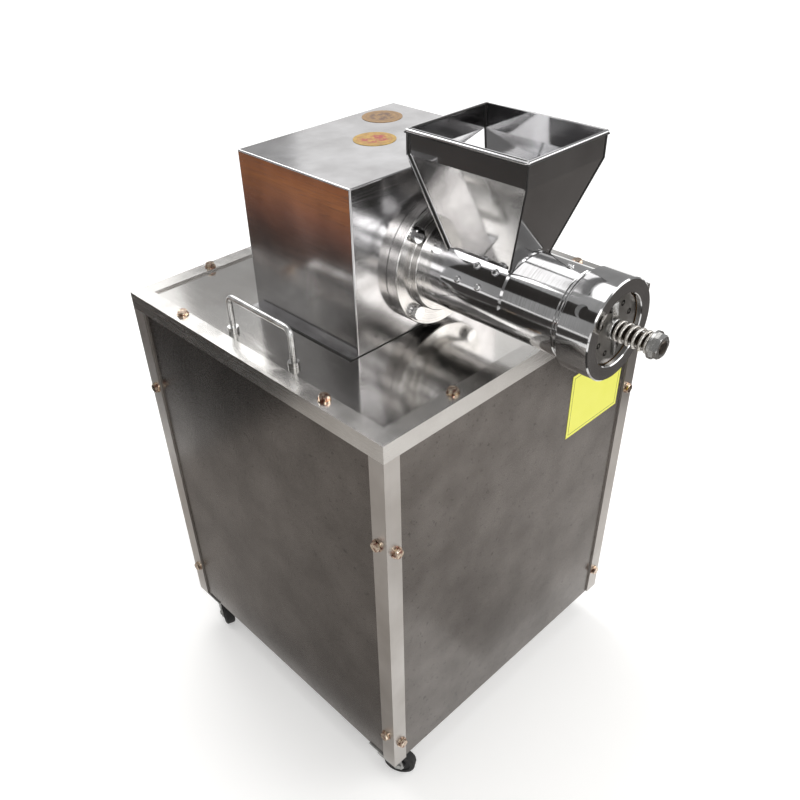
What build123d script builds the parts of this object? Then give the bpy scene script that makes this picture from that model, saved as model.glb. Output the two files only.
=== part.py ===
"""Electric pasta maker: a screw extruder on a wheeled cabinet, in millimetres.

X runs to the right and Z up, and the barrel points along -Y. Shapes are drawn with X and Y
measured from the middle of the cabinet and Z from the floor; save() then shifts them along Y so
that the origin lies under the middle of the whole machine.
"""

import os
from math import acos, cos, degrees, pi, radians, sin, sqrt, tan

from build123d import *

# Running and assembly clearances
gap = 0.3
journal_gap = 0.05

# Cabinet
cabinet_w = 530.0
cabinet_d = 530.0
frame_h = 624.0
angle_leg = 25.0
angle_t = 3.0
panel_t = 1.5
deck_t = 6.0
floor_t = 4.0

# Casters
caster_h = 65.0
caster_inset_x = 24.0
caster_inset_y = 36.0
caster_plate_w = 46.0
caster_plate_t = 2.5
race_r = 17.0
race_h = 4.5
wheel_r = 25.0
wheel_w = 17.0
wheel_edge = 3.0
wheel_hub_t = 6.0
wheel_dish = 2.0
tread_t = 7.0
caster_trail = 17.0
fork_t = 2.5
fork_disc_t = 4.0
fork_side_gap = 1.2
kingpin_r = 4.0
caster_axle_r = 4.0
caster_headings = (-60.0, 80.0, -105.0, -110.0)

# Gearbox cover
cover_x = -18.0
cover_w = 274.5
cover_d = 210.5
cover_h = 216.0
cover_front = -106.5
cover_t = 1.5
cover_bend = 2.0
cover_lip = 12.0

# Screw axis and barrel; stations are distances in front of the cover
axis_above_deck = 90.0
barrel_r = 53.0
bore_r = 40.0
barrel_end = 262.0
thread_start = 224.5
thread_pitch = 4.0
thread_depth = 1.3
thread_rings = 3
flange_r = 85.0
flange_t = 17.0
boss_r = 62.0
boss_end = 28.0
flange_bolt_r = 73.25
bolt_d = 10.0
bolt_af = 17.0
bolt_head_h = 6.4
washer_r = 10.0
washer_t = 2.0
bolt_grip = 13.0
hex_chamfer = 1.2
boss_chamfer = 1.0
flange_edge = 1.0

# Feed saddle and hopper
saddle_start = 61.0
saddle_end = 151.5
saddle_t = 3.0
hopper_station = 104.5
throat_half_x = 33.0
throat_half_y = 40.0
hopper_foot = (35.0, 46.0)
hopper_fold = (65.8, 83.7)
hopper_foot_z = 38.0
hopper_fold_z = 152.0
hopper_top_z = 181.0
hopper_t = 1.5
seam_proud = 3.0
rim_r = 2.0
saddle_screw_angle = 162.0
saddle_screw_stations = (88.0, 119.0)
small_head_r = 4.5
small_head_h = 3.0
plug_station = 206.0
foot_screw_stations = (108.0, 135.0)
foot_screw_x = 42.0

# Die, cap and cutter
cap_r = 60.0
cap_back = 235.7
cap_front = 277.5
cap_opening_r = 42.5
cap_chamfer = 1.5
spanner_hole_r = 7.5
spanner_hole_depth = 5.0
spanner_station = 257.0
spanner_angle = 143.8
die_flange_r = 49.5
die_flange_t = 7.5
die_boss_h = 1.0
die_boss_gap = 0.5
die_face_chamfer = 0.8
insert_count = 8
insert_pitch_r = 29.0
insert_r = 6.5
insert_hole_r = 3.6
insert_pin_r = 1.6
insert_bridge_h = 3.0
insert_bridge_t = 1.2
slip_ring_t = 1.5
slip_ring_gap = 1.5
stud_r = 8.0
stud_end = 331.8
stud_grip = 20.0
blade_len = 70.0
blade_w = 8.0
blade_lean = 12.0
blade_t = 3.0
blade_hub_t = 4.0
spring_wire = 4.0
spring_outer_r = 12.75
spring_len = 46.0
spring_turns = 5.25
stud_washer_r = 16.0
stud_washer_t = 3.0
nut_af = 24.0
nut_h = 8.0

# Screw and its drive
root_r = 22.0
flight_pitch = 48.0
flight_t = 6.0
flight_sink = 1.0
neck_taper = 8.0
screw_start = 42.0
screw_end = 256.0
neck_r = 30.0
gear_seat_r = 25.0
tail_r = 17.5
gear_module = 2.0
screw_teeth = 70
pinion_teeth = 14
pressure_angle = 20.0
addendum = 0.6
dedendum = 1.25
backlash = 0.5
pinion_angle = 45.0
gear_w = 36.0
gear_rim_r = 58.0
gear_hub_r = 36.0
gear_web_t = 14.0
pinion_shaft_r = 12.5

# Gear housing
housing_wall = 12.0
front_wall = 30.0
cavity_len = 54.0
lid_t = 20.0
tooth_room = 2.0
housing_foot_w = 190.0
housing_foot_h = 16.0
neck_bearing = (30.0, 55.0, 22.0)
tail_bearing = (17.5, 36.0, 17.0)
pinion_bearing = (12.5, 26.0, 15.0)
seal_start = 4.0
seal_len = 12.0

# Belt drive
driven_pulley_r = 60.0
motor_pulley_r = 31.5
belt_count = 3
belt_spacing = 15.0
belt_top_w = 12.4
belt_h = 8.0
groove_depth = 11.0
belt_wall_angle = 17.0
pulley_edge = 10.0
pulley_start = 5.0
belt_slot_gap = 8.0

# Motor
motor_axis_z = 205.0
motor_frame_r = 82.0
motor_fin_h = 8.0
motor_fin_t = 3.0
motor_fins = 28
motor_bore_r = 62.0
motor_len = 140.0
motor_gap = 13.0
bell_t = 20.0
rear_bell_t = 15.0
cowl_len = 45.0
cowl_t = 2.0
motor_shaft_r = 12.0
rotor_r = 61.0
fan_hub_r = 20.0
fan_r = 72.0
fan_blades = 7
motor_foot_t = 10.0
motor_centre_h = 100.0
rail_w = 40.0
rail_t = 4.0
rail_len = 260.0
terminal_box_size = (90.0, 70.0, 38.0)

# Lift handles
handle_inset = 40.5
handle_y = (-62.6, 65.9)
handle_rise = 52.0
handle_bar_r = 4.0
handle_bend_r = 10.0
collar_r = 7.5
collar_h = 7.0

# Control station on the rear panel
station_x = -120.0
station_z = 560.0
station_w = 120.0
station_h = 90.0
station_d = 45.0
station_t = 3.0
button_pitch = 52.0
button_stem_r = 6.0
button_travel = 4.0
button_lift = 1.0
button_edge = 0.3
keeper_t = 2.0
keeper_rim = 3.0
start_cap_r = 11.0
start_cap_t = 6.0
stop_cap_r = 18.0
stop_cap_t = 13.5
guard_t = 2.0
gland_z = 430.0
gland_af = 24.0
gland_hex_t = 8.0
gland_dome_r = 10.5
gland_dome_h = 12.0
gland_bore_r = 5.0
gland_shank_r = 8.0

# Louvres in the rear panel
louvre_w = 70.0
louvre_h = 6.0
louvre_pitch = 24.0
louvre_rows = 6
louvre_x = (-50.0, 50.0)
louvre_z = 190.0

# Frame screws: places along the rails and up the posts
screw_af = 13.0
screw_head_h = 5.0
screw_washer_r = 8.5
screw_washer_t = 1.5
screw_shank_r = 4.0
screw_edge = 15.6
side_rail_screw = 115.0
end_rail_screw = 129.0
side_post_heights = (70.0, 466.0)
end_post_heights = (52.0, 454.0)

# Label and stickers
label_w = 128.0
label_h = 108.0
label_side = 37.0
label_drop = 83.0
label_t = 0.5
sticker_r = 28.0
sticker_t = 0.4
sticker_places = ((60.5, 66.0), (-13.7, 2.5))

# Places worked out from the sizes above
half_w = cabinet_w / 2
half_d = cabinet_d / 2
floor_z = caster_h
floor_top = floor_z + floor_t
frame_top = caster_h + frame_h
deck_z = frame_top - angle_t
deck_under = deck_z - deck_t
post_top = frame_top - angle_leg
skin_x = half_w - angle_t
skin_y = half_d - angle_t
axis_x = cover_x
axis_z = deck_z + axis_above_deck
housing_front = cover_front + cover_t
cavity_front = housing_front + front_wall
cavity_back = cavity_front + cavity_len
housing_back = cavity_back + lid_t
gear_front = cavity_front + (cavity_len - gear_w) / 2
gear_back = gear_front + gear_w
screw_gear_r = gear_module * screw_teeth / 2
pinion_gear_r = gear_module * pinion_teeth / 2
shaft_distance = screw_gear_r + pinion_gear_r
pinion_x = axis_x + shaft_distance * cos(radians(pinion_angle))
pinion_z = axis_z + shaft_distance * sin(radians(pinion_angle))
pulley_back = pulley_start + 2 * pulley_edge + belt_spacing * (belt_count - 1)
motor_drive_end = pulley_start - motor_gap - bell_t
handle_x = half_w - handle_inset
station_face = skin_y + station_d
back_reach = station_face + button_travel + button_lift + stop_cap_t
front_reach = cover_front - stud_end
origin_y = -(front_reach + back_reach) / 2
saddle_r = barrel_r + saddle_t


def station(distance):
    """Y of a point this far in front of the gearbox cover."""
    return cover_front - distance


def save(node, *shapes):
    """Shift the pieces of one node to the machine's own origin and write them."""
    moved = [Pos(0, origin_y, 0) * shape for shape in shapes]
    whole = moved[0] if len(moved) == 1 else Compound(children=moved)
    export_step(whole, f"parts/{node}.step")


def block(x, y, z):
    """Box between pairs of limits along X, Y and Z."""
    limits = (x, y, z)
    sizes = [abs(b - a) for a, b in limits]
    middle = [(a + b) / 2 for a, b in limits]
    return Pos(*middle) * Box(*sizes)


def rod(radius, y, x=axis_x, z=axis_z):
    """Cylinder along Y between a pair of limits."""
    return Pos(x, (y[0] + y[1]) / 2, z) * Rot(90, 0, 0) * Cylinder(radius, abs(y[1] - y[0]))


def pillar(radius, x, y, z):
    """Upright cylinder between a pair of limits along Z."""
    return Pos(x, y, (z[0] + z[1]) / 2) * Cylinder(radius, abs(z[1] - z[0]))


def turned(points, x=axis_x, z=axis_z):
    """Solid turned about a line along Y; the points are (radius, y)."""
    outline = make_face(Polyline(*points, close=True))
    return Pos(x, 0, z) * revolve(outline, Axis.Y)


def hexagon(across_flats, height):
    """Hexagonal prism standing on the XY plane."""
    return extrude(RegularPolygon(across_flats / 2, 6, major_radius=False), height)


def turned_hexagon(across_flats, height):
    """Hexagonal prism whose corners are turned off round the top."""
    envelope = Pos(0, 0, height / 2) * Cylinder(across_flats / sqrt(3), height)
    return hexagon(across_flats, height) & chamfer(envelope.edges().group_by(Axis.Z)[-1], hex_chamfer)


def polar(radius, angle, y, x=axis_x, z=axis_z):
    """Point on a circle about a line along Y, the angle taken from +X towards +Z."""
    return (x + radius * cos(radians(angle)), y, z + radius * sin(radians(angle)))


def capped_screw(head, washer, shank):
    """Hexagon screw along +Z with its washer on the XY plane; each argument is (size, length)."""
    screw = pillar(washer[0], 0, 0, (0, washer[1]))
    screw += Pos(0, 0, washer[1]) * turned_hexagon(*head)
    return screw + pillar(shank[0], 0, 0, (-shank[1], 0))


def domed_screw(head_r, head_h, shank_r, shank_len):
    """Round-headed screw along +Z with its head on the XY plane."""
    head = Cylinder(head_r, head_h, align=(Align.CENTER, Align.CENTER, Align.MIN))
    head = fillet(head.edges().group_by(Axis.Z)[-1], head_h * 0.8)
    return head + pillar(shank_r, 0, 0, (-shank_len, 0))


# ---------------------------------------------------------------- cabinet

def mitred_rail(length, span, foot_z, top_leg):
    """Angle bar along X whose outer face is span in front of the middle, mitred at both ends."""
    corner = [(-length / 2, -span), (length / 2, -span)]
    inner = [(length / 2 - angle_leg, angle_leg - span), (angle_leg - length / 2, angle_leg - span)]
    envelope = Pos(0, 0, foot_z) * extrude(make_face(Polyline(*corner, *inner, close=True)), angle_leg)
    hollow_z = (foot_z, foot_z + angle_leg - angle_t)
    if not top_leg:
        hollow_z = (foot_z + angle_t, foot_z + angle_leg)
    return envelope - block((-length, length), (angle_t - span, angle_leg), hollow_z)


def make_top_rails():
    rails = angle_ring(cabinet_w, cabinet_d, post_top, True)
    places = [place for corner in corners for place in rail_screw_places(*corner)]
    return [rail - screw_holes(places) for rail in rails]


def angle_ring(width, depth, foot_z, top_leg):
    """Four mitred rails round a rectangle: front, right, rear and left."""
    lengths = (width, depth, width, depth)
    spans = (depth / 2, width / 2, depth / 2, width / 2)
    return [
        Rot(0, 0, 90 * turn) * mitred_rail(length, span, foot_z, top_leg)
        for turn, (length, span) in enumerate(zip(lengths, spans))
    ]


def corner_post(side_x, side_y):
    outer = (side_x * half_w, side_x * (half_w - angle_leg)), (side_y * half_d, side_y * (half_d - angle_leg))
    inner = (side_x * skin_x, side_x * (skin_x - angle_leg)), (side_y * skin_y, side_y * (skin_y - angle_leg))
    post = block(*outer, (floor_z, post_top)) - block(*inner, (floor_z, post_top))
    return post - screw_holes(post_screw_places(side_x, side_y))


corners = [(-1, -1), (1, -1), (1, 1), (-1, 1)]
belt_x = driven_pulley_r + belt_slot_gap
belt_y = (pulley_start - belt_slot_gap, pulley_back + belt_slot_gap)


def make_top_plate():
    plate = block((-skin_x, skin_x), (-skin_y, skin_y), (deck_under, deck_z))
    return plate - block((pinion_x - belt_x, pinion_x + belt_x), belt_y, (deck_under, deck_z))


def make_end_panel(side):
    return block((-skin_x, skin_x), (side * skin_y, side * (skin_y - panel_t)), (floor_top, deck_under))


def make_side_panel(side):
    inner_y = skin_y - panel_t
    return block((side * skin_x, side * (skin_x - panel_t)), (-inner_y, inner_y), (floor_top, deck_under))


def make_rear_panel():
    panel = make_end_panel(1)
    for x in louvre_x:
        for row in range(louvre_rows):
            z = louvre_z + row * louvre_pitch
            slot = extrude(SlotOverall(louvre_w, louvre_h), cabinet_d, both=True)
            panel -= Pos(x, skin_y, z) * Rot(90, 0, 0) * slot & panel
    holes = rod(gland_shank_r + gap, (skin_y - panel_t, skin_y), station_x, gland_z)
    holes += rod(gland_bore_r, (skin_y - panel_t, skin_y), station_x, station_z - station_h / 4)
    return panel - holes


# ---------------------------------------------------------------- casters

def caster_wheel_profile(half_hub):
    """Half section of the wheel: hub, thin web and rounded tread."""
    half_wheel = wheel_w / 2
    hub_r = caster_axle_r + wheel_hub_t
    side = [
        (caster_axle_r + journal_gap, half_hub), (hub_r, half_hub),
        (hub_r, half_wheel - wheel_dish), (wheel_r - tread_t - 1, half_wheel - wheel_dish),
        (wheel_r - tread_t, half_wheel), (wheel_r - wheel_edge, half_wheel),
        (wheel_r - wheel_edge * 0.27, half_wheel - wheel_edge * 0.47), (wheel_r, half_wheel - wheel_edge)]
    return side + [(r, -y) for r, y in reversed(side)]


def make_caster(side_x, side_y, heading):
    """Mounting plate, fork and wheel of one caster, turned to its heading."""
    race_under = caster_h - caster_plate_t - race_h
    half = caster_plate_w / 2
    plate = block((-half, half), (-half, half), (caster_h - caster_plate_t, caster_h))
    plate += pillar(race_r, 0, 0, (race_under, caster_h - caster_plate_t))
    plate -= pillar(kingpin_r + gap, 0, 0, (race_under, caster_h))

    disc_top = race_under - gap
    disc_under = disc_top - fork_disc_t
    fork = pillar(race_r, 0, 0, (disc_under, disc_top))
    fork += pillar(kingpin_r, 0, 0, (disc_top, caster_h - gap))
    inner_y = wheel_w / 2 + fork_side_gap
    cheek = make_face(Polyline(
        (-race_r, disc_under), (race_r + 2, disc_under), (caster_trail + 9, wheel_r - 2),
        (caster_trail + 5, wheel_r - 9), (caster_trail - 5, wheel_r - 9), (-race_r, disc_under - 7),
        close=True))
    for side in (-1, 1):
        y = inner_y if side < 0 else -inner_y - fork_t
        fork += Pos(0, -y, 0) * Rot(90, 0, 0) * extrude(cheek, fork_t)
    across = (-inner_y - fork_t, inner_y + fork_t)
    fork += block((-race_r, race_r + 2), across, (disc_under, disc_under + fork_t))
    axle_y = inner_y + fork_t + 2
    fork += rod(caster_axle_r, (-axle_y, axle_y), caster_trail, wheel_r)

    half_hub = inner_y - gap
    wheel = turned(caster_wheel_profile(half_hub), caster_trail, wheel_r)
    place = Pos(side_x * (half_w - caster_inset_x), side_y * (half_d - caster_inset_y), 0)
    return place * plate, place * Rot(0, 0, heading) * fork, place * Rot(0, 0, heading) * wheel


# ---------------------------------------------------------------- gearbox cover and handles

def make_cover():
    x = (cover_x - cover_w / 2, cover_x + cover_w / 2)
    y = (cover_front, cover_front + cover_d)
    z = (deck_z, deck_z + cover_h)
    shell = block(x, y, z)
    bends = shell.edges().group_by(Axis.Z)[-1] + shell.edges().filter_by(Axis.Z)
    shell = fillet(bends, cover_bend)
    shell -= block((x[0] + cover_t, x[1] - cover_t), (y[0] + cover_t, y[1] - cover_t), (z[0], z[1] - cover_t))
    shell += block((x[0] - cover_lip, x[0] + cover_t), y, (deck_z, deck_z + cover_t))
    shell += block((x[1] - cover_t, x[1] + cover_lip), y, (deck_z, deck_z + cover_t))
    return shell - rod(barrel_r + gap, (y[0], y[0] + cover_t)) - flange_bolt_holes((y[0], y[0] + cover_t))


def flange_bolt_holes(y):
    holes = [rod(bolt_d / 2 + gap, y, *polar(flange_bolt_r, angle, 0)[::2]) for angle in range(45, 360, 90)]
    return Compound(holes)


def make_handle(side):
    low, high = handle_y
    top = deck_z + handle_rise
    x = side * handle_x
    ends = ((x, low, deck_z), (x, low, top), (x, high, top), (x, high, deck_z))
    path = FilletPolyline(*ends, radius=handle_bend_r)
    return sweep(Plane((x, low, deck_z)) * Circle(handle_bar_r), path=path)


def make_collar(side, y):
    place = Pos(side * handle_x, y, deck_z)
    collar = hexagon(collar_r * sqrt(3), collar_h * 0.6) + pillar(collar_r, 0, 0, (0, collar_h))
    return place * (collar - pillar(handle_bar_r, 0, 0, (0, collar_h)))


# ---------------------------------------------------------------- barrel, saddle and hopper

def make_barrel():
    """Tube with the visible end of the cap's thread as rings and the feed opening cut through."""
    lead = 1.0
    points = [(bore_r, station(barrel_end)), (barrel_r - lead, station(barrel_end))]
    points.append((barrel_r, station(barrel_end - lead)))
    groove_r = barrel_r - thread_depth
    for ring in reversed(range(thread_rings)):
        middle = thread_start + (ring + 0.5) * thread_pitch
        mouth = thread_pitch * 0.4
        floor = thread_pitch * 0.1
        points += [(barrel_r, station(middle + mouth)), (groove_r, station(middle + floor))]
        points += [(groove_r, station(middle - floor)), (barrel_r, station(middle - mouth))]
    points += [(barrel_r, housing_front), (bore_r, housing_front)]
    return turned(points) - throat_cut() - top_hole(small_head_r / 2, plug_station)


def top_hole(radius, distance):
    """Upright hole down into the barrel's top at a station."""
    return pillar(radius, axis_x, station(distance), (axis_z + barrel_r - saddle_t, axis_z + saddle_r))


def throat_cut():
    """Rectangular feed opening through the top of the barrel and saddle."""
    x = (axis_x - throat_half_x, axis_x + throat_half_x)
    y = (station(hopper_station + throat_half_y), station(hopper_station - throat_half_y))
    return block(x, y, (axis_z, axis_z + saddle_r + 1))


def make_mounting_flange():
    ring = turned([
        (barrel_r, cover_front), (flange_r - flange_edge, cover_front), (flange_r, cover_front - flange_edge),
        (flange_r, station(flange_t - flange_edge)), (flange_r - flange_edge, station(flange_t)),
        (boss_r + boss_chamfer, station(flange_t)), (boss_r, station(flange_t + boss_chamfer)),
        (boss_r, station(boss_end - boss_chamfer)), (boss_r - boss_chamfer, station(boss_end)),
        (barrel_r, station(boss_end))])
    return ring - flange_bolt_holes((station(flange_t), cover_front))


def radial(radius, angle, distance):
    """Location on a circle round the barrel whose +Z points away from the axis."""
    outward = polar(1, angle, 0, 0, 0)
    return Location(Plane(polar(radius, angle, station(distance)), x_dir=(0, 1, 0), z_dir=outward))


def saddle_screw_places():
    """Saddle screws low on each side and hopper foot screws beside the throat."""
    foot_angle = degrees(acos(foot_screw_x / saddle_r))
    rows = ((180 - saddle_screw_angle, saddle_screw_stations), (foot_angle, foot_screw_stations))
    return [
        radial(saddle_r, side_angle, distance)
        for angle, distances in rows
        for side_angle in (angle, 180 - angle)
        for distance in distances
    ]


def make_saddle():
    """Half shell bent over the barrel, with the feed opening and its screw holes."""
    y = (station(saddle_end), station(saddle_start))
    shell = rod(saddle_r, y) - rod(barrel_r, y)
    shell -= block((axis_x - saddle_r, axis_x + saddle_r), y, (axis_z - saddle_r, axis_z))
    hole = pillar(small_head_r / 2, 0, 0, (-saddle_t - 1, 1))
    return shell - throat_cut() - Compound([place * hole for place in saddle_screw_places()])


def frustum(low, high, z):
    """Solid between two rectangles of half sizes low and high at a pair of heights."""
    y = station(hopper_station)
    ends = zip((low, high), z)
    return loft([Pos(axis_x, y, axis_z + level) * Rectangle(2 * a, 2 * b) for (a, b), level in ends])


def grown(half_sizes, dx, dy):
    return (half_sizes[0] + dx, half_sizes[1] + dy)


def hopper_form(dx, dy):
    """Outside of the hopper grown along X and Y: sloped up to the fold and upright above it."""
    foot = grown(hopper_foot, dx, dy)
    fold = grown(hopper_fold, dx, dy)
    sloped = frustum(foot, fold, (hopper_foot_z, hopper_fold_z))
    return sloped + frustum(fold, fold, (hopper_fold_z, hopper_top_z))


def make_hopper():
    """Four sheet walls; the front and rear ones stand proud of the side walls as seams."""
    walls = hopper_form(0, 0) - hopper_form(-hopper_t, -hopper_t)
    walls += hopper_form(seam_proud, 0) - hopper_form(seam_proud + 1, -hopper_t)
    y = station(hopper_station)
    walls -= rod(saddle_r, (y - 2 * hopper_fold[1], y + 2 * hopper_fold[1]))
    return walls + hopper_rim()


def hopper_rim():
    """Rolled bead round the mouth."""
    half_x = hopper_fold[0] + seam_proud
    half_y = hopper_fold[1]
    z = axis_z + hopper_top_z - rim_r
    y = station(hopper_station)
    path = Pos(axis_x, y, z) * RectangleRounded(2 * half_x, 2 * half_y, rim_r * 1.2).wire()
    return sweep(Plane((axis_x, y - half_y, z), z_dir=(1, 0, 0)) * Circle(rim_r), path=path)


# ---------------------------------------------------------------- die, cap and cutter

die_front = barrel_end + die_flange_t + die_boss_h
ring_start = barrel_end + die_flange_t + gap
lip_start = ring_start + slip_ring_t + gap
blade_start = die_front + gap
spring_start = blade_start + blade_t


def make_die_plate():
    """Disc clamped by the cap, its raised face standing in the cap's opening."""
    back, seat, face = station(barrel_end), station(barrel_end + die_flange_t), station(die_front)
    face_r = cap_opening_r - die_boss_gap
    plate = turned([
        (stud_r + gap, back), (die_flange_r, back), (die_flange_r, seat), (face_r, seat),
        (face_r, face + die_face_chamfer), (face_r - die_face_chamfer, face), (stud_r + gap, face)])
    for x, z in insert_places():
        plate -= rod(insert_r, (face, back), x, z)
    return plate


def insert_places():
    step = 360 / insert_count
    return [polar(insert_pitch_r, step * (i + 0.5), 0)[::2] for i in range(insert_count)]


def make_insert(x, z):
    """Bushing whose annular slot shapes one tube of pasta round a central pin."""
    ends = (station(die_front), station(barrel_end))
    bush = rod(insert_r, ends, x, z) - rod(insert_hole_r, ends, x, z)
    pin = rod(insert_pin_r, ends, x, z)
    bridge_y = (station(barrel_end + insert_bridge_h), station(barrel_end))
    half = insert_bridge_t / 2
    return bush + pin + block((x - insert_hole_r, x + insert_hole_r), bridge_y, (z - half, z + half))


def make_cap():
    inner_r = barrel_r + gap
    cap = turned([
        (inner_r, station(cap_back)), (cap_r - 1, station(cap_back)), (cap_r, station(cap_back + 1)),
        (cap_r, station(cap_front - cap_chamfer)), (cap_r - cap_chamfer, station(cap_front)),
        (cap_opening_r + 1, station(cap_front)), (cap_opening_r, station(cap_front - 1)),
        (cap_opening_r, station(lip_start)), (inner_r, station(lip_start))])
    for k in range(4):
        seat = radial(cap_r, spanner_angle + 90 * k, spanner_station)
        cap -= seat * pillar(spanner_hole_r, 0, 0, (-spanner_hole_depth, 1))
    return cap


def make_slip_ring():
    """Bronze washer that the cap turns against while it clamps the die plate."""
    y = (station(ring_start + slip_ring_t), station(ring_start))
    return rod(barrel_r - gap, y) - rod(cap_opening_r + slip_ring_gap, y)


def make_stud():
    root = station(screw_end - stud_grip)
    return turned([
        (0, root), (stud_r, root), (stud_r, station(stud_end - hex_chamfer)),
        (stud_r - hex_chamfer, station(stud_end)), (0, station(stud_end))])


def make_blade():
    y = (station(blade_start + blade_t), station(blade_start))
    half = blade_len / 2
    bar = block((-blade_w / 2, blade_w / 2), y, (-half, half))
    blade = Pos(axis_x, 0, axis_z) * Rot(0, -blade_lean, 0) * bar + rod(stud_r + blade_hub_t, y)
    return blade - rod(stud_r + gap, y)


def make_spring():
    wire_r = spring_wire / 2
    coil_r = spring_outer_r - wire_r
    climb = spring_len - spring_wire
    path = Helix(climb / spring_turns, climb, coil_r)
    coil = sweep(Plane(path @ 0, z_dir=path % 0) * Circle(wire_r), path=path, is_frenet=True)
    ends = [Pos(0, 0, level) * Torus(coil_r, wire_r) for level in (0, climb)]
    coil += ends
    return Pos(axis_x, station(spring_start + wire_r), axis_z) * Rot(90, 0, 0) * coil


def make_nut(distance, height):
    nut = turned_hexagon(nut_af, height) - pillar(stud_r, 0, 0, (0, height))
    return Pos(axis_x, station(distance), axis_z) * Rot(90, 0, 0) * nut


def make_stud_nuts():
    """Washer that the spring bears on, and the thin nut that holds it."""
    washer_start = spring_start + spring_len
    washer_end = washer_start + stud_washer_t
    washer_y = (station(washer_end), station(washer_start))
    washer = rod(stud_washer_r, washer_y) - rod(stud_r, washer_y)
    return washer, make_nut(washer_end, nut_h)


# ---------------------------------------------------------------- screw and gears

def make_auger():
    """Screw with its neck, gear seat and tail journal; the flight is swept along a helix."""
    tail = cavity_back + tail_bearing[2]
    shaft = turned([
        (0, tail), (tail_r, tail), (tail_r, cavity_back),
        (gear_seat_r, cavity_back), (gear_seat_r, gear_front),
        (neck_r, gear_front), (neck_r, station(screw_start)),
        (root_r, station(screw_start + neck_taper)), (root_r, station(screw_end)), (0, station(screw_end))])
    flight_start = screw_start + neck_taper + flight_t / 2
    path = Helix(flight_pitch, screw_end - flight_start - flight_t, root_r)
    inner = root_r - flight_sink
    outer = bore_r - gap
    rib = Pos((inner + outer) / 2 - root_r, 0) * Rectangle(outer - inner, flight_t)
    flight = sweep(Plane(path @ 0, x_dir=(1, 0, 0), z_dir=path % 0) * rib, path=path, is_frenet=True)
    flight = Pos(axis_x, station(flight_start), axis_z) * Rot(90, 0, 0) * flight
    return shaft + flight - rod(stud_r, (station(screw_end), station(screw_end - stud_grip)))


def involute(angle):
    return tan(angle) - angle


def tooth_half_angle(teeth, radius):
    """Half the angle that a tooth spans at a radius."""
    pitch_r = gear_module * teeth / 2
    base_r = pitch_r * cos(radians(pressure_angle))
    at_pitch = pi / (2 * teeth) - backlash / (2 * pitch_r)
    flank = involute(acos(min(1, base_r / radius)))
    return at_pitch + involute(radians(pressure_angle)) - flank


def gear_outline(teeth, phase):
    """Spur gear outline with involute flanks; a tooth stands at the phase angle."""
    pitch_r = gear_module * teeth / 2
    base_r = pitch_r * cos(radians(pressure_angle))
    tip_r = pitch_r + addendum * gear_module
    foot_r = pitch_r - dedendum * gear_module
    start_r = max(foot_r, base_r)
    flank = [(r, tooth_half_angle(teeth, r)) for r in (start_r, (start_r + pitch_r) / 2, pitch_r, tip_r)]
    if foot_r < base_r:
        flank.insert(0, (foot_r, flank[0][1]))
    points = []
    for tooth in range(teeth):
        middle = radians(phase) + 2 * pi * tooth / teeth
        sides = [(r, middle - half) for r, half in flank]
        sides += [(r, middle + half) for r, half in reversed(flank)]
        points += [(r * cos(angle), r * sin(angle)) for r, angle in sides]
    return make_face(Polyline(*points, close=True))


def make_output_gear():
    gear = extrude(gear_outline(screw_teeth, pinion_angle), gear_w)
    gear = Pos(axis_x, gear_back, axis_z) * Rot(90, 0, 0) * gear
    recess = (gear_w - gear_web_t) / 2
    for y in ((gear_front, gear_front + recess), (gear_back - recess, gear_back)):
        gear -= rod(gear_rim_r, y) - rod(gear_hub_r, y)
    return gear - rod(gear_seat_r, (gear_front, gear_back))


def make_pinion_shaft():
    face = gear_outline(pinion_teeth, pinion_angle + 180 + 180 / pinion_teeth)
    pinion = Pos(pinion_x, gear_back, pinion_z) * Rot(90, 0, 0) * extrude(face, gear_w)
    shaft_y = (cavity_front - pinion_bearing[2] + gap, pulley_back + 4)
    shaft = rod(pinion_shaft_r, (shaft_y[0], gear_front), pinion_x, pinion_z)
    shaft += rod(pinion_shaft_r, (gear_back, shaft_y[1]), pinion_x, pinion_z)
    return pinion + shaft


def grooved_pulley(radius, bore, x, z):
    """Pulley with one V groove for each belt."""
    slope = tan(radians(belt_wall_angle))
    half_top = belt_top_w / 2 + gap
    half_floor = half_top - groove_depth * slope
    points = [(bore, pulley_start), (radius, pulley_start)]
    for belt in range(belt_count):
        middle = pulley_start + pulley_edge + belt * belt_spacing
        points += [(radius, middle - half_top), (radius - groove_depth, middle - half_floor)]
        points += [(radius - groove_depth, middle + half_floor), (radius, middle + half_top)]
    points += [(radius, pulley_back), (bore, pulley_back)]
    return turned(points, x, z)


def make_belt(number):
    """V belt round both pulleys, seated level with their rims."""
    upper = driven_pulley_r - belt_h / 2
    lower = motor_pulley_r - belt_h / 2
    span = pinion_z - motor_axis_z
    lean = (upper - lower) / span
    level = sqrt(1 - lean**2)
    right = [(upper * level, span - upper * lean), (lower * level, -lower * lean)]
    left = [(-x, z) for x, z in right]
    y = pulley_start + pulley_edge + number * belt_spacing
    flat = Wire([
        Line(left[1], left[0]), ThreePointArc(left[0], (0, span + upper), right[0]),
        Line(right[0], right[1]), ThreePointArc(right[1], (0, -lower), left[1])])
    path = Pos(pinion_x, y, motor_axis_z) * Rot(90, 0, 0) * flat
    slope = tan(radians(belt_wall_angle)) * belt_h
    inner_w = belt_top_w - 2 * slope
    trapezoid = make_face(Polyline(
        (-belt_h / 2, -belt_top_w / 2), (-belt_h / 2, belt_top_w / 2),
        (belt_h / 2, inner_w / 2), (belt_h / 2, -inner_w / 2), close=True))
    heading = path % 0
    section = Plane(path @ 0, x_dir=Vector(0, 1, 0).cross(heading), z_dir=heading) * trapezoid
    return sweep(section, path=path)


# ---------------------------------------------------------------- gear housing

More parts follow.
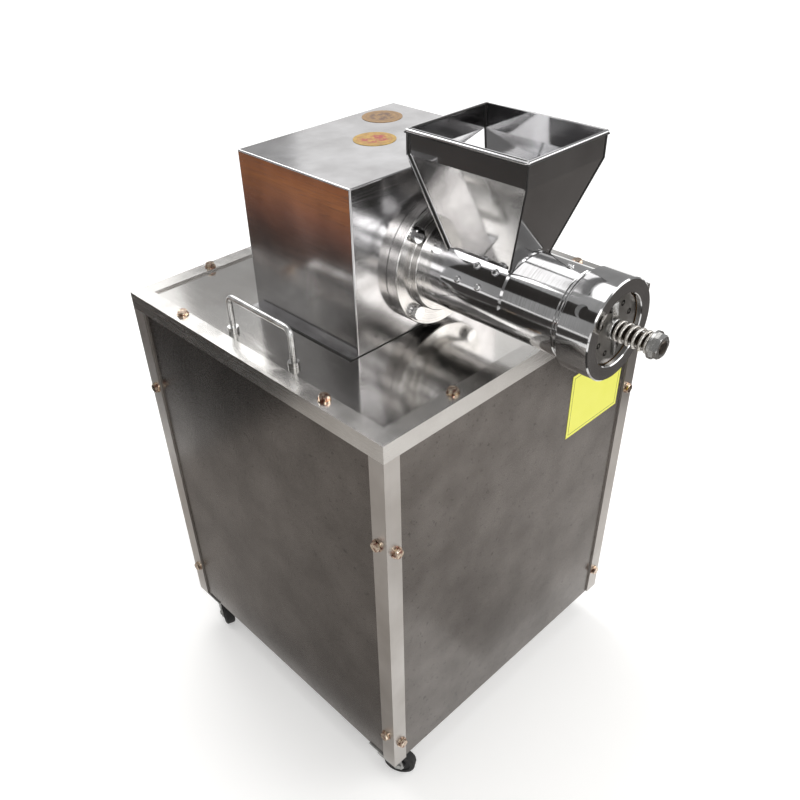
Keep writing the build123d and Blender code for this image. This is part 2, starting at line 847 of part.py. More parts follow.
def housing_sketch(screw_r, pinion_r):
    """Outline round the two gears, seen along the shafts."""
    big = Circle(screw_r)
    small = Pos(pinion_x - axis_x, pinion_z - axis_z) * Circle(pinion_r)
    return make_hull(big.edges() + small.edges())


def along_y(sketch, y):
    """Sketch drawn about the screw axis, made solid between a pair of limits along Y."""
    return Pos(axis_x, y[1], axis_z) * Rot(90, 0, 0) * extrude(sketch, y[1] - y[0])


cavity_r = screw_gear_r + addendum * gear_module + tooth_room
pinion_cavity_r = pinion_gear_r + addendum * gear_module + tooth_room


def housing_body(y):
    outline = housing_sketch(cavity_r + housing_wall, pinion_bearing[1] + housing_wall)
    body = along_y(outline, y)
    half = housing_foot_w / 2
    body += block((axis_x - half, axis_x + half), y, (deck_z, deck_z + housing_foot_h))
    return body


def make_housing():
    body = housing_body((housing_front, cavity_back))
    body -= along_y(housing_sketch(cavity_r, pinion_cavity_r), (cavity_front, cavity_back))
    body -= rod(neck_bearing[1], (cavity_front - neck_bearing[2], cavity_front))
    body -= rod(neck_r + 2, (housing_front, cavity_front))
    body -= rod(pinion_bearing[1], (cavity_front - pinion_bearing[2], cavity_front), pinion_x, pinion_z)
    for angle in range(45, 360, 90):
        x, _, z = polar(flange_bolt_r, angle, 0)
        body -= rod(bolt_d / 2, (housing_front, housing_front + bolt_grip), x, z)
    return body


def make_lid():
    lid = housing_body((cavity_back, housing_back))
    lid -= rod(tail_bearing[1], (cavity_back, cavity_back + tail_bearing[2]))
    lid -= rod(pinion_bearing[1], (cavity_back, cavity_back + pinion_bearing[2]), pinion_x, pinion_z)
    return lid - rod(pinion_shaft_r + gap, (cavity_back, housing_back), pinion_x, pinion_z)


def make_bearing(sizes, front, x, z):
    inner, outer, width = sizes
    y = (front, front + width)
    groove_r = (inner + outer) / 2
    ball_r = (outer - inner) / 5
    ring = rod(outer, y, x, z) - rod(inner + journal_gap, y, x, z)
    relief = [(groove_r - ball_r, front), (groove_r + ball_r, front), (groove_r + ball_r, front + 2),
              (groove_r - ball_r, front + 2)]
    return ring - turned(relief, x, z)


# ---------------------------------------------------------------- motor

motor_front = motor_drive_end - motor_len
bell_front = motor_front - rear_bell_t
fan_front = bell_front - cowl_len


def make_motor_housing():
    y = (motor_front, motor_drive_end)
    body = rod(motor_frame_r, y, pinion_x, motor_axis_z) - rod(motor_bore_r, y, pinion_x, motor_axis_z)
    reach = motor_frame_r + motor_fin_h
    for fin in range(motor_fins):
        angle = 360 * (fin + 0.5) / motor_fins
        rib = block((motor_frame_r - 1, reach), y, (-motor_fin_t / 2, motor_fin_t / 2))
        body += Pos(pinion_x, 0, motor_axis_z) * Rot(0, -angle, 0) * rib
    foot_z = (motor_axis_z - motor_centre_h, motor_axis_z - motor_centre_h + motor_foot_t)
    for side in (-1, 1):
        foot_x = (pinion_x + side * 50, pinion_x + side * 100)
        web_x = (pinion_x + side * 50, pinion_x + side * 60)
        body += block(foot_x, (motor_front + 10, motor_drive_end - 10), foot_z)
        web = block(web_x, (motor_front + 20, motor_drive_end - 20), (foot_z[0], motor_axis_z - 60))
        body += web - rod(motor_bore_r + 4, y, pinion_x, motor_axis_z)
    return body


def make_bell(y, bore):
    return rod(motor_frame_r, y, pinion_x, motor_axis_z) - rod(bore, y, pinion_x, motor_axis_z)


def make_cowl():
    y = (fan_front, bell_front)
    cowl = rod(motor_frame_r, y, pinion_x, motor_axis_z)
    cowl -= rod(motor_frame_r - cowl_t, (fan_front + cowl_t, bell_front), pinion_x, motor_axis_z)
    for ring in (22, 34, 46, 58):
        slot_y = (fan_front, fan_front + cowl_t)
        slots = rod(ring + 5, slot_y, pinion_x, motor_axis_z) - rod(ring, slot_y, pinion_x, motor_axis_z)
        bars = block((pinion_x - 90, pinion_x + 90), slot_y, (motor_axis_z - 3, motor_axis_z + 3))
        bars += block((pinion_x - 3, pinion_x + 3), slot_y, (motor_axis_z - 90, motor_axis_z + 90))
        cowl -= slots - bars
    return cowl


def make_rotor():
    core = rod(rotor_r, (motor_front + 8, motor_drive_end - 8), pinion_x, motor_axis_z)
    return core + rod(motor_shaft_r, (fan_front + 12, pulley_back + 3), pinion_x, motor_axis_z)


def make_fan():
    y = (fan_front + 10, bell_front - 5)
    fan = rod(fan_hub_r, y, pinion_x, motor_axis_z)
    for blade in range(fan_blades):
        vane = block((fan_hub_r - 1, fan_r), y, (-1, 1))
        fan += Pos(pinion_x, 0, motor_axis_z) * Rot(0, 360 * blade / fan_blades, 0) * vane
    return fan - rod(motor_shaft_r, y, pinion_x, motor_axis_z)


def make_terminal_box():
    width, length, height = terminal_box_size
    reach = motor_frame_r + motor_fin_h
    middle_y = (motor_front + motor_drive_end) / 2
    z = (motor_axis_z - width / 2, motor_axis_z + width / 2)
    x = (pinion_x - reach - height, pinion_x - motor_frame_r + 2)
    box = block(x, (middle_y - length / 2, middle_y + length / 2), z)
    return box - rod(reach + gap, (motor_front, motor_drive_end), pinion_x, motor_axis_z)


def make_motor_rail(y):
    """Channel across the floor under one pair of motor feet."""
    top = motor_axis_z - motor_centre_h
    x = (pinion_x - rail_len / 2, pinion_x + rail_len / 2)
    rail = block(x, (y - rail_w / 2, y + rail_w / 2), (floor_top, top))
    return rail - block(x, (y - rail_w / 2 + rail_t, y + rail_w / 2 - rail_t), (floor_top, top - rail_t))


# ---------------------------------------------------------------- control station

def make_station():
    half_x, half_z = station_w / 2, station_h / 2
    x = (station_x - half_x, station_x + half_x)
    z = (station_z - half_z, station_z + half_z)
    box = block(x, (skin_y, station_face), z)
    box = fillet(box.edges().filter_by(Axis.Y) + box.edges().group_by(Axis.Y)[-1], 4)
    box -= block((x[0] + station_t, x[1] - station_t), (skin_y, station_face - station_t),
                 (z[0] + station_t, z[1] - station_t))
    for side in (-1, 1):
        bx = station_x + side * button_pitch / 2
        box -= rod(button_stem_r + gap, (station_face - station_t, station_face), bx, station_z)
    guard_r = start_cap_r + gap + guard_t
    guard_x = station_x - button_pitch / 2
    guard_y = (station_face, station_face + button_travel + start_cap_t)
    guard = rod(guard_r, guard_y, guard_x, station_z) - rod(start_cap_r + gap, guard_y, guard_x, station_z)
    return box + guard


def make_button(side, radius, thickness):
    """Cap, stem through the box and a keeper flange behind the wall."""
    x = station_x + side * button_pitch / 2
    base = station_face + button_travel + button_lift
    cap = rod(radius, (base, base + thickness), x, station_z)
    cap = fillet(cap.edges().group_by(Axis.Y)[-1], thickness * button_edge)
    wall_back = station_face - station_t - gap
    keeper = rod(button_stem_r + keeper_rim, (wall_back - keeper_t, wall_back), x, station_z)
    return cap + rod(button_stem_r, (wall_back - keeper_t, base), x, station_z) + keeper


def make_gland():
    hex_end = skin_y + gland_hex_t
    dome_end = hex_end + gland_dome_h
    body = Pos(station_x, hex_end, gland_z) * Rot(90, 0, 0) * hexagon(gland_af, gland_hex_t)
    dome = rod(gland_dome_r, (hex_end, dome_end), station_x, gland_z)
    body += fillet(dome.edges().group_by(Axis.Y)[-1], 4)
    body += rod(gland_shank_r, (skin_y - 10, skin_y), station_x, gland_z)
    nut_y = (skin_y - panel_t - 5, skin_y - panel_t)
    body += rod(gland_shank_r + 4, nut_y, station_x, gland_z)
    return body - rod(gland_bore_r, (skin_y - 10, dome_end), station_x, gland_z)


# ---------------------------------------------------------------- fasteners and labels

def rail_screw_places(side_x, side_y):
    """Two screws down through the top rails near a corner, each with +Z pointing out."""
    along_side = Pos(side_x * (half_w - screw_edge), side_y * (half_d - side_rail_screw), frame_top)
    along_end = Pos(side_x * (half_w - end_rail_screw), side_y * (half_d - screw_edge), frame_top)
    return [along_side, along_end]


def post_screw_places(side_x, side_y):
    """Screws through both legs of a corner post, each with +Z pointing out."""
    places = []
    for height in side_post_heights:
        spot = (side_x * half_w, side_y * (half_d - screw_edge), floor_z + height)
        places.append(Location(Plane(spot, x_dir=(0, 1, 0), z_dir=(side_x, 0, 0))))
    for height in end_post_heights:
        spot = (side_x * (half_w - screw_edge), side_y * half_d, floor_z + height)
        places.append(Location(Plane(spot, x_dir=(1, 0, 0), z_dir=(0, side_y, 0))))
    return places


def screw_holes(places):
    return Compound([place * pillar(screw_shank_r, 0, 0, (-angle_t, 0)) for place in places])


def make_frame_screws():
    screw = capped_screw((screw_af, screw_head_h), (screw_washer_r, screw_washer_t), (screw_shank_r, angle_t))
    rail = [place for corner in corners for place in rail_screw_places(*corner)]
    post = [place for corner in corners for place in post_screw_places(*corner)]
    return [place * screw for place in rail + post]


def make_flange_bolt(angle):
    x, _, z = polar(flange_bolt_r, angle, 0)
    reach = flange_t + cover_t + bolt_grip - 1
    bolt = capped_screw((bolt_af, bolt_head_h), (washer_r, washer_t), (bolt_d / 2, reach))
    return Pos(x, station(flange_t), z) * Rot(90, 0, 0) * bolt


def make_saddle_screws():
    """Screws of the saddle and hopper foot, and the plug on top of the barrel."""
    screw = domed_screw(small_head_r, small_head_h, small_head_r / 2, saddle_t)
    plug = radial(barrel_r, 90, plug_station)
    return [place * screw for place in saddle_screw_places() + [plug]]


def write_frame():
    save("corner_posts", *[corner_post(*corner) for corner in corners])
    save("top_rails", *make_top_rails())
    inner_w = 2 * (skin_x - panel_t)
    inner_d = 2 * (skin_y - panel_t)
    save("bottom_rails", *angle_ring(inner_w, inner_d, floor_top, False))
    save("base_plate", block((-skin_x, skin_x), (-skin_y, skin_y), (floor_z, floor_top)))
    save("top_plate", make_top_plate())
    save("front_panel", make_end_panel(-1))
    save("rear_panel", make_rear_panel())
    save("left_panel", make_side_panel(-1))
    save("right_panel", make_side_panel(1))
    save("frame_screws", *make_frame_screws())
    save("lift_handles", make_handle(-1), make_handle(1))
    save("handle_collars", *[make_collar(side, y) for side in (-1, 1) for y in handle_y])
    label_right = half_w - label_side
    label_top = frame_top - label_drop
    save("front_label", block((label_right - label_w, label_right), (-skin_y - label_t, -skin_y),
                              (label_top - label_h, label_top)))


def write_casters():
    casters = [make_caster(*corner, heading) for corner, heading in zip(corners, caster_headings)]
    save("caster_plates", *[plate for plate, _, _ in casters])
    for number, (_, fork, wheel) in enumerate(casters, 1):
        save(f"caster_fork_{number}", fork)
        save(f"caster_wheel_{number}", wheel)


def write_extruder():
    save("gearbox_cover", make_cover())
    top = deck_z + cover_h
    save("cover_stickers", *[pillar(sticker_r, x, y, (top, top + sticker_t)) for x, y in sticker_places])
    save("barrel", make_barrel())
    save("mounting_flange", make_mounting_flange())
    save("flange_bolts", *[make_flange_bolt(angle) for angle in range(45, 360, 90)])
    save("feed_saddle", make_saddle())
    save("hopper", make_hopper())
    save("saddle_screws", *make_saddle_screws())
    save("die_plate", make_die_plate())
    save("die_inserts", *[make_insert(x, z) for x, z in insert_places()])
    save("die_cap", make_cap())
    save("slip_ring", make_slip_ring())
    save("auger", make_auger())
    save("cutter_stud", make_stud())
    save("cutter_blade", make_blade())
    save("cutter_spring", make_spring())
    save("stud_nuts", *make_stud_nuts())


def write_drive():
    save("gear_housing", make_housing())
    save("gear_housing_lid", make_lid())
    save("output_gear", make_output_gear())
    save("pinion_shaft", make_pinion_shaft())
    pinion_front = cavity_front - pinion_bearing[2]
    save("bearings",
         make_bearing(neck_bearing, cavity_front - neck_bearing[2], axis_x, axis_z),
         make_bearing(tail_bearing, cavity_back, axis_x, axis_z),
         make_bearing(pinion_bearing, pinion_front, pinion_x, pinion_z),
         make_bearing(pinion_bearing, cavity_back, pinion_x, pinion_z))
    seal_y = (station(seal_start + seal_len), station(seal_start))
    save("shaft_seal", rod(bore_r, seal_y) - rod(neck_r + journal_gap, seal_y))
    save("driven_pulley", grooved_pulley(driven_pulley_r, pinion_shaft_r, pinion_x, pinion_z))
    save("v_belts", *[make_belt(number) for number in range(belt_count)])


def write_motor():
    save("motor_housing", make_motor_housing())
    save("motor_end_bells",
         make_bell((motor_drive_end, motor_drive_end + bell_t), motor_shaft_r + journal_gap),
         make_bell((bell_front, motor_front), motor_shaft_r + journal_gap))
    save("fan_cowl", make_cowl())
    save("terminal_box", make_terminal_box())
    rail_ys = (motor_front + 35, motor_drive_end - 35)
    save("motor_rails", *[make_motor_rail(y) for y in rail_ys])
    save("motor_rotor", make_rotor())
    save("motor_fan", make_fan())
    save("motor_pulley", grooved_pulley(motor_pulley_r, motor_shaft_r, pinion_x, motor_axis_z))


def write_controls():
    save("control_box", make_station())
    save("start_button", make_button(-1, start_cap_r, start_cap_t))
    save("stop_button", make_button(1, stop_cap_r, stop_cap_t))
    save("cable_gland", make_gland())


os.makedirs("parts", exist_ok=True)
write_frame()
write_casters()
write_extruder()
write_drive()
write_motor()
write_controls()
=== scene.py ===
from math import pi, radians

import bmesh
import bpy
from mathutils import Matrix, Vector


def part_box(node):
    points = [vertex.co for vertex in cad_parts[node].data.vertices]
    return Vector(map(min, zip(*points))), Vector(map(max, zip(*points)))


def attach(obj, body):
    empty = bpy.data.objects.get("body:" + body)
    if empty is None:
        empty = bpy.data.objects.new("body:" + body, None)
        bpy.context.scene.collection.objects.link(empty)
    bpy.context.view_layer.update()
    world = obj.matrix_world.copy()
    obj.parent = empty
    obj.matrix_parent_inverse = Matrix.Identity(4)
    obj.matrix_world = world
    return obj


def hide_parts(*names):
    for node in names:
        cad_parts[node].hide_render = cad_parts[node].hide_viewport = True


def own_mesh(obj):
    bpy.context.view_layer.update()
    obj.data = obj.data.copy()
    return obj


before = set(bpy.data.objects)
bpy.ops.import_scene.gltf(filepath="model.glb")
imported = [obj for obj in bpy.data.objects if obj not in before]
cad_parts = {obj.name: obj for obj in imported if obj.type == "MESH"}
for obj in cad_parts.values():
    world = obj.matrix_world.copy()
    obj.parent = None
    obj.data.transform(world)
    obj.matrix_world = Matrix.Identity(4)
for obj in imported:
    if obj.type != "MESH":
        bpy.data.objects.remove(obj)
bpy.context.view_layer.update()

mm = 0.001

# Places in metres, in the frame of the solids
axis_x, axis_z = -0.018, 0.776
cover_low, cover_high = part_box("gearbox_cover")
hopper_y = sum(corner.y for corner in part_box("hopper")) / 2


# ---------------------------------------------------------------- materials

# The middle of a noise's range, which holds nearly all of its values
noise_span = {"From Min": 0.3, "From Max": 0.7}


def linear(hex_colour):
    """sRGB hex colour as the linear RGBA that the shaders take."""
    parts = [int(hex_colour[i:i + 2], 16) / 255 for i in (1, 3, 5)]
    return [c / 12.92 if c <= 0.04045 else ((c + 0.055) / 1.055) ** 2.4 for c in parts] + [1.0]


def add(tree, kind, sockets=(), **settings):
    """Adds a shader node. A socket's value is a number, a colour or another node's output."""
    node = tree.nodes.new("ShaderNode" + kind)
    for name, value in settings.items():
        setattr(node, name, value)
    for socket, value in dict(sockets).items():
        if isinstance(value, bpy.types.NodeSocket):
            tree.links.new(value, node.inputs[socket])
        else:
            node.inputs[socket].default_value = value
    return node


def new_material(name, **values):
    """Material with an empty tree, its surface shader and the object's own coordinates."""
    material = bpy.data.materials.new(name)
    material.use_nodes = True
    tree = material.node_tree
    tree.nodes.clear()
    shader = add(tree, "BsdfPrincipled", {key.replace("_", " "): value for key, value in values.items()})
    add(tree, "OutputMaterial", {"Surface": shader.outputs[0]})
    place = add(tree, "TexCoord").outputs["Object"]
    return material, tree, shader, place


def clouded(tree, place, light, dark, cloud_mm, low, high, **detail):
    """Colour that drifts between two tones in clouds of a given size."""
    clouds = add(tree, "TexNoise", {"Vector": place, "Scale": 1 / (cloud_mm * mm), **detail})
    spread = add(tree, "MapRange", {"Value": clouds.outputs["Fac"], "From Min": low, "From Max": high})
    colour = add(tree, "Mix", {0: spread.outputs[0], 6: linear(dark), 7: linear(light)}, data_type="RGBA")
    return colour.outputs[2]


def surface(tree, shader, colour, height, depth_mm, roughness=None):
    """Gives the shader its colour, its roughness and a fine relief, and returns the relief."""
    relief = add(tree, "Bump", {"Height": height, "Strength": 1.0, "Distance": depth_mm * mm})
    tree.links.new(colour, shader.inputs["Base Color"])
    tree.links.new(relief.outputs[0], shader.inputs["Normal"])
    if roughness:
        tree.links.new(roughness, shader.inputs["Roughness"])
    return relief


def steel(name, light, dark, roughness, grain_mm, cloud_mm=90, grain_depth=0.004, waviness=0.0, spots=0.0):
    """Stainless sheet or bar.

    light and dark are the two ends of its cloudy colour, and roughness a pair. grain_mm gives the
    grain's size along X, Y and Z: long along the brushing. Real hairlines are about 0.1 mm wide, and
    are drawn coarser here so that they show. waviness is the depth in mm of the slow hollows in
    rolled sheet, and spots how dark the specks of dirt in the surface are.
    """
    scratch_roughness, scratch_spacing = 0.06, 0.23
    hollow_mm, speck_mm = 140, 7
    material, tree, shader, place = new_material(name, Metallic=1.0)
    colour = clouded(tree, place, light, dark, cloud_mm, 0.32, 0.68, Detail=3.0, Roughness=0.55)
    stretched = add(tree, "Mapping", {"Vector": place, "Scale": [1 / (size * mm) for size in grain_mm]})
    grain = add(tree, "TexNoise", {"Vector": stretched.outputs[0], "Scale": 1.0, "Detail": 4.0,
                                   "Roughness": 0.6})
    low, high = roughness
    rough = add(tree, "MapRange", {"Value": grain.outputs["Fac"], **noise_span,
                                   "To Min": low, "To Max": high})
    marks = add(tree, "TexVoronoi", {"Vector": stretched.outputs[0], "Scale": scratch_spacing},
                feature="DISTANCE_TO_EDGE")
    line = add(tree, "MapRange", {"Value": marks.outputs["Distance"], "From Min": 0.0, "From Max": 0.03,
                                  "To Min": scratch_roughness, "To Max": 0.0})
    worn = add(tree, "Math", {0: rough.outputs[0], 1: line.outputs[0]}, operation="ADD")
    if spots:
        specks = add(tree, "TexNoise", {"Vector": place, "Scale": 1 / (speck_mm * mm), "Detail": 2.0,
                                        "Roughness": 0.7})
        mask = add(tree, "MapRange", {"Value": specks.outputs["Fac"], "From Min": 0.62, "From Max": 0.74,
                                      "To Min": 0.0, "To Max": spots})
        dirt = add(tree, "Mix", {0: mask.outputs[0], 6: colour, 7: linear("#2E2B28")}, data_type="RGBA")
        colour = dirt.outputs[2]
    relief = surface(tree, shader, colour, grain.outputs["Fac"], grain_depth, worn.outputs[0])
    if waviness:
        hollows = add(tree, "TexNoise", {"Vector": place, "Scale": 1 / (hollow_mm * mm), "Detail": 1.0})
        slow = add(tree, "Bump", {"Height": hollows.outputs["Fac"], "Strength": 1.0,
                                  "Distance": waviness * mm})
        tree.links.new(slow.outputs[0], relief.inputs["Normal"])
    return material


def turned_steel(name, light, dark, roughness, ring_mm, ring_depth=0.004):
    """Steel off the lathe: fine rings round the barrel's axis, on its skins and its end faces alike.

    Real tool marks are about 0.2 mm apart, and are drawn coarser here so that they show.
    """
    material, tree, shader, place = new_material(name, Metallic=1.0)
    centred = add(tree, "Mapping", {"Vector": place, "Location": (-axis_x, 0.0, -axis_z)})
    parts = add(tree, "SeparateXYZ", {0: centred.outputs[0]})
    flat = add(tree, "CombineXYZ", {"X": parts.outputs["X"], "Z": parts.outputs["Z"]})
    radius = add(tree, "VectorMath", {0: flat.outputs[0]}, operation="LENGTH")
    along = add(tree, "CombineXYZ", {"X": radius.outputs["Value"], "Y": parts.outputs["Y"]})
    rings = add(tree, "TexNoise", {"Vector": along.outputs[0], "Scale": 1 / (ring_mm * mm), "Detail": 3.0,
                                   "Roughness": 0.65}, noise_dimensions="2D")
    cloud_mm = 38
    clouds = add(tree, "TexNoise", {"Vector": place, "Scale": 1 / (cloud_mm * mm), "Detail": 3.0})
    mixed = add(tree, "Math", {0: rings.outputs["Fac"], 1: clouds.outputs["Fac"]}, operation="MULTIPLY")
    tone = add(tree, "MapRange", {"Value": mixed.outputs[0], "From Min": 0.12, "From Max": 0.4})
    colour = add(tree, "Mix", {0: tone.outputs[0], 6: linear(dark), 7: linear(light)}, data_type="RGBA")
    low, high = roughness
    rough = add(tree, "MapRange", {"Value": rings.outputs["Fac"], **noise_span,
                                   "To Min": low, "To Max": high})
    surface(tree, shader, colour.outputs[2], rings.outputs["Fac"], ring_depth, rough.outputs[0])
    return material


def coated(name, light, dark, roughness, grit_mm, grit_depth=0.02, metallic=0.0, cloud_mm=25):
    """Painted, cast, plated or moulded surface: two close colours in clouds and a fine grit."""
    material, tree, shader, place = new_material(name, Metallic=metallic)
    colour = clouded(tree, place, light, dark, cloud_mm, 0.35, 0.65, Detail=4.0)
    grit = add(tree, "TexNoise", {"Vector": place, "Scale": 1 / (grit_mm * mm), "Detail": 3.0})
    low, high = roughness
    rough = add(tree, "MapRange", {"Value": grit.outputs["Fac"], **noise_span, "To Min": low, "To Max": high})
    surface(tree, shader, colour, grit.outputs["Fac"], grit_depth, rough.outputs[0])
    return material


# Hairline-brushed stainless angle bar: long fine lines down each bar, and a soft grey shine
upright_bar = steel("hairline_stainless_post", "#C6C2BE", "#B4AFAA", (0.28, 0.38), (0.5, 0.5, 45))
across_bar = steel("hairline_stainless_rail", "#DBD9D6", "#C8C5C1", (0.17, 0.27), (45, 45, 0.5))
# Rolled stainless sheet, its colour painted dark to stand for the dark surroundings it mirrors (painted
# reflection): a dim mirror with slow hollows and specks of dirt
dark_painted_skin_sheet = steel("stainless_sheet_painted_dark", "#7B7672", "#67625E", (0.20, 0.30), (1.2, 1.2, 1.2), 70,
                   grain_depth=0.006, waviness=0.6, spots=0.5)
# Mirror-polished stainless sheet: near-clear reflections with faint hairlines
bright_sheet = steel("polished_stainless_sheet", "#D2D2D3", "#B7B6B6", (0.05, 0.10), (60, 60, 0.6), 120,
                     grain_depth=0.001, waviness=0.7)
# Satin-polished stainless sheet: soft cloudy reflections that bend over its hollows
satin_sheet = steel("satin_polished_stainless_cover", "#D0CFD0", "#A8A6A6", (0.12, 0.20), (60, 60, 0.8), 85,
                    grain_depth=0.003, waviness=1.0)
# Polished stainless plate, wiped often: a mirror with a light haze across it
deck_sheet = steel("polished_stainless_deck", "#D3D1CE", "#C2BFBB", (0.10, 0.16), (0.6, 60, 60), 120,
                   grain_depth=0.001, waviness=0.5)
# Stainless turned and polished on the lathe: sharp streaks of light along it, fine rings round it
lathe_steel = turned_steel("polished_turned_stainless", "#D6D6D6", "#B7B6B6", (0.06, 0.12), 1.2, 0.0004)
# Stainless faced on the lathe and left so: a broad shine broken by its rings
faced_steel = turned_steel("faced_stainless_flange", "#D4D2D0", "#AEACAA", (0.16, 0.28), 1.0, 0.0012)
# Ground tool steel: a darker, even grey
die_steel = turned_steel("ground_tool_steel", "#A29F9B", "#7E7B77", (0.28, 0.40), 0.8)
# Bright zinc with a yellow passivate: pinkish and greenish tints over bare metal
zinc_plate = coated("yellow_zinc_plate", "#F2E4CE", "#8C6052", (0.08, 0.18), 1.5, 0.02, 1.0, 5)
# Satin stainless rod and fastener: a broad soft shine
satin_bar = coated("satin_stainless_bar", "#DCDCDB", "#B4B3B1", (0.22, 0.34), 1.0, 0.006, 1.0, 18)
# Cut steel thread, dark and dull: partly old oil in its roots, partly painted shade for the deep shadow
# between the spring's coils; bright only on its crests
oiled_and_shaded_thread = coated("oiled_and_shaded_cut_thread", "#6E655C", "#3A3430", (0.30, 0.45), 0.8, 0.01, 1.0, 6)
# Clear zinc plate on pressed steel: a pale grey, slightly frosted shine
caster_zinc = coated("clear_zinc_plate", "#B4B4B2", "#8C8C8A", (0.30, 0.45), 1.5, 0.01, 1.0, 12)
# Bright drawn spring wire: a thin white highlight on every coil
spring_wire = coated("bright_spring_wire", "#E2DFDA", "#BAB5AE", (0.24, 0.36), 1.0, 0.008, 1.0, 5)
# Cast iron as it leaves the sand: dark and rough, with a dim glint of metal
cast_iron = coated("cast_iron", "#5A5C5E", "#46484A", (0.55, 0.75), 1.6, 0.12, 0.4)
# Sprayed machine enamel: a smooth blue coat with a slight orange peel
motor_enamel = coated("sprayed_machine_enamel", "#3E5F78", "#36556C", (0.30, 0.42), 2.0, 0.05)
# Cut gear steel under a film of oil: mid grey with soft highlights
gear_steel = coated("oiled_gear_steel", "#9A958E", "#7C7872", (0.28, 0.42), 1.2, 0.01, 1.0)
# Sintered bronze: a warm brown with fine pores
sintered_bronze = coated("sintered_bronze", "#A8814E", "#8C6A3E", (0.34, 0.48), 0.8, 0.02, 1.0, 8)
# Painted shade: matt black lines that stand for the shadow and dark reflection in the hopper's seams, under
# its rim and where the gearbox cover meets the deck
seam_shade_paint = coated("painted_seam_shade", "#24211F", "#141210", (0.40, 0.60), 0.8, 0.04)
# Moulded rubber: a deep matt black with no clear highlight
black_rubber = coated("moulded_rubber", "#232221", "#191818", (0.62, 0.80), 1.4, 0.04)
# Moulded nylon: black with a dim waxy shine
black_plastic = coated("black_nylon", "#242424", "#1C1C1C", (0.42, 0.55), 0.9, 0.03)
# Moulded ABS: an even colour under a fine satin grain, glossier on the buttons
grey_plastic = coated("grey_moulded_abs", "#B9BAB8", "#AEAFAD", (0.38, 0.50), 0.9, 0.03)
green_plastic = coated("green_moulded_abs", "#1F8A46", "#197A3C", (0.28, 0.38), 0.9, 0.02)
red_plastic = coated("red_moulded_abs", "#C22A22", "#AE231C", (0.28, 0.38), 0.9, 0.02)


def printed_label():
    """Yellow vinyl label with a thin printed border: a soft sheen and a slight orange peel."""
    border_in, line_core, line_edge = 5 * mm, 0.35 * mm, 0.6 * mm
    fade_mm, peel_mm = 40, 3
    material, tree, shader, place = new_material("yellow_vinyl_label", Roughness=0.42)
    low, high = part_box("front_label")
    centred = add(tree, "Mapping", {"Vector": place, "Location": -(low + high) / 2})
    size = add(tree, "VectorMath", {0: centred.outputs[0]}, operation="ABSOLUTE")
    parts = add(tree, "SeparateXYZ", {0: size.outputs[0]})
    from_side = add(tree, "Math", {0: (high.x - low.x) / 2, 1: parts.outputs["X"]}, operation="SUBTRACT")
    from_top = add(tree, "Math", {0: (high.z - low.z) / 2, 1: parts.outputs["Z"]}, operation="SUBTRACT")
    nearest = add(tree, "Math", {0: from_side.outputs[0], 1: from_top.outputs[0]}, operation="MINIMUM")
    offset = add(tree, "Math", {0: nearest.outputs[0], 1: border_in}, operation="SUBTRACT")
    apart = add(tree, "Math", {0: offset.outputs[0]}, operation="ABSOLUTE")
    line = add(tree, "MapRange", {"Value": apart.outputs[0], "From Min": line_core, "From Max": line_edge,
                                  "To Min": 1.0, "To Max": 0.0})
    fade = add(tree, "TexNoise", {"Vector": place, "Scale": 1 / (fade_mm * mm), "Detail": 3.0})
    ground = add(tree, "Mix", {0: fade.outputs["Fac"], 6: linear("#EDEC5A"), 7: linear("#F6F573")},
                 data_type="RGBA")
    inked = add(tree, "Mix", {0: line.outputs[0], 6: ground.outputs[2], 7: linear("#6B6A2A")},
                data_type="RGBA")
    peel = add(tree, "TexNoise", {"Vector": place, "Scale": 1 / (peel_mm * mm), "Detail": 2.0})
    surface(tree, shader, inked.outputs[2], peel.outputs["Fac"], 0.02)
    return material


